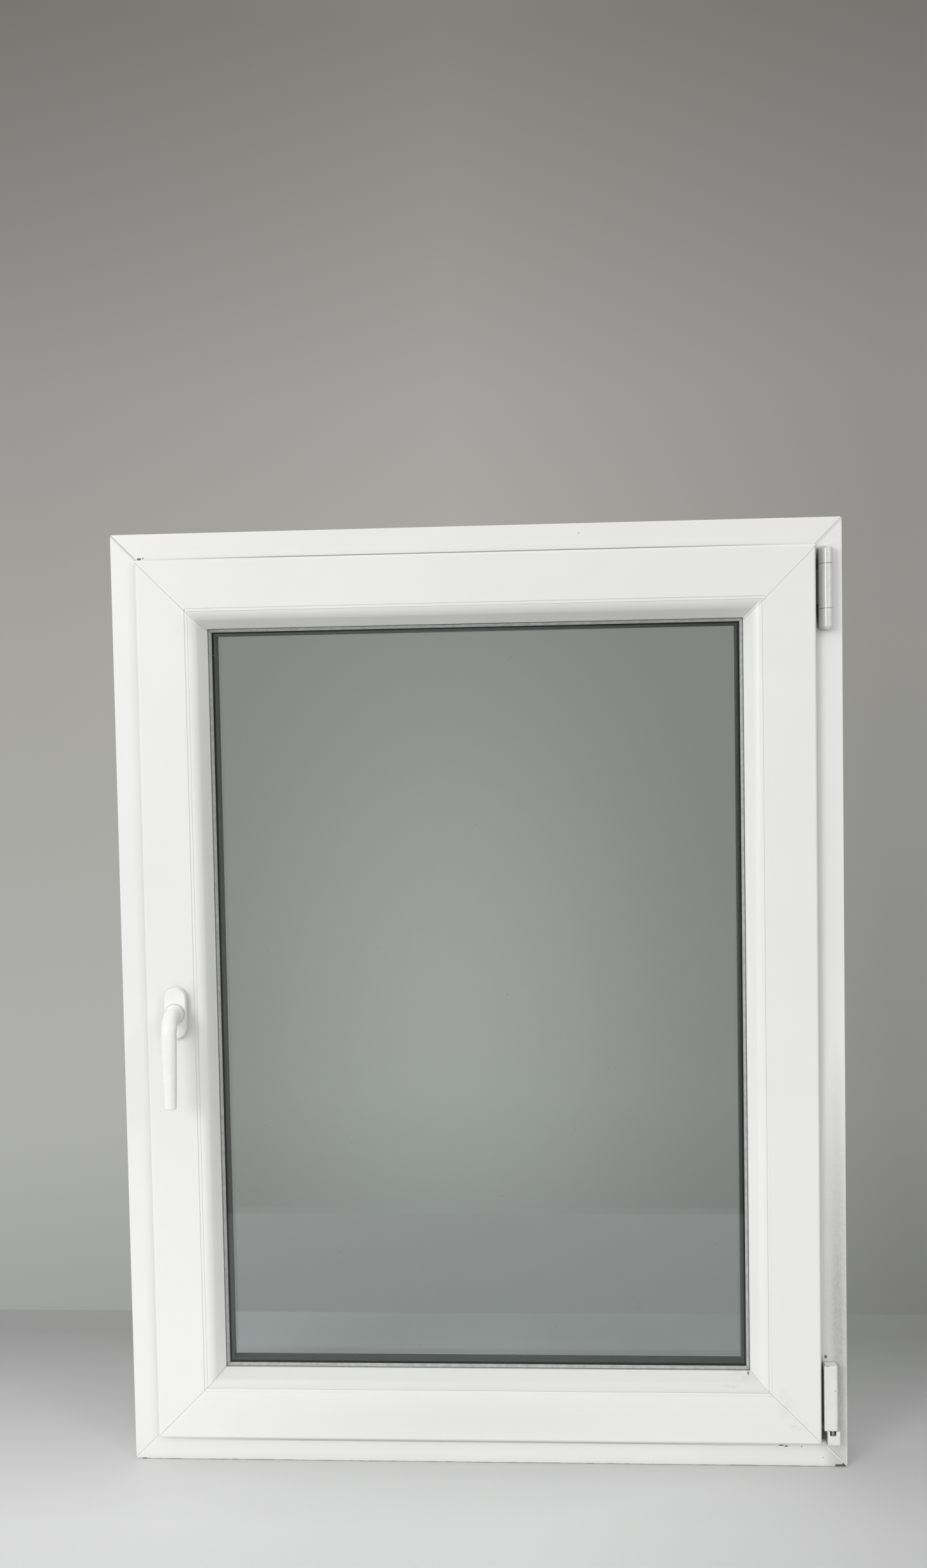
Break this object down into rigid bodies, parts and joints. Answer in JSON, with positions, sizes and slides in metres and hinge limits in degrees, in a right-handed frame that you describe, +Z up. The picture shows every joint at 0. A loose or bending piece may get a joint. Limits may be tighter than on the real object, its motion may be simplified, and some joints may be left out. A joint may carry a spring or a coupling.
{
  "type": "tilt and turn window",
  "caption": "White PVC tilt and turn window, one sash hinged on the right with a lever handle on the left, double glazed, closed.",
  "frame": {"origin": "centre of the outer frame's flat bottom face, at mid depth", "axes": "+Z up the window, +X to the right seen from the room, -Y towards the room, +Y towards the weather"},
  "size_m": [0.98, 0.1416, 1.28],
  "materials": {
    "pvc_white": "moulded and extruded rigid PVC, satin",
    "glass_clear": "float glass, polished",
    "rubber_grey": "extruded gasket, matt",
    "spacer_dark": "warm-edge spacer, matt",
    "sealant_dark": "cast sealant, matt",
    "hardware_white": "powder coated zinc and steel, semi-gloss",
    "handle_white": "powder coated aluminium, semi-gloss",
    "steel": "zinc plated steel",
    "block_plastic": "moulded plastic, matt"
  },
  "bodies": {
    "root": {"bead_bottom": "pvc_white", "bead_left": "pvc_white", "bead_right": "pvc_white", "bead_top": "pvc_white", "bottom_hinge_bearing": "hardware_white", "bottom_hinge_cover": "hardware_white", "bottom_hinge_pin": "steel", "butyl_seals": "sealant_dark", "drain_caps": "pvc_white", "edge_sealant": "sealant_dark", "frame_head": "pvc_white", "frame_jamb_left": "pvc_white", "frame_jamb_right": "pvc_white", "frame_seal": "rubber_grey", "frame_sill": "pvc_white", "glazing_gasket": "rubber_grey", "handle_lever": "handle_white", "handle_rosette": "handle_white", "handle_spindle": "steel", "inner_pane": "glass_clear", "locking_cams": "steel", "locking_strip": "steel", "outer_glazing_gasket": "rubber_grey", "outer_pane": "glass_clear", "sash_bottom_rail": "pvc_white", "sash_left_stile": "pvc_white", "sash_right_stile": "pvc_white", "sash_seal": "rubber_grey", "sash_top_rail": "pvc_white", "setting_blocks": "block_plastic", "spacer_bar": "spacer_dark", "strikers": "steel", "top_hinge_lower_knuckle": "hardware_white", "top_hinge_pin": "steel", "top_hinge_sleeve": "hardware_white", "top_hinge_upper_knuckle": "hardware_white"}
  },
  "joints": []
}
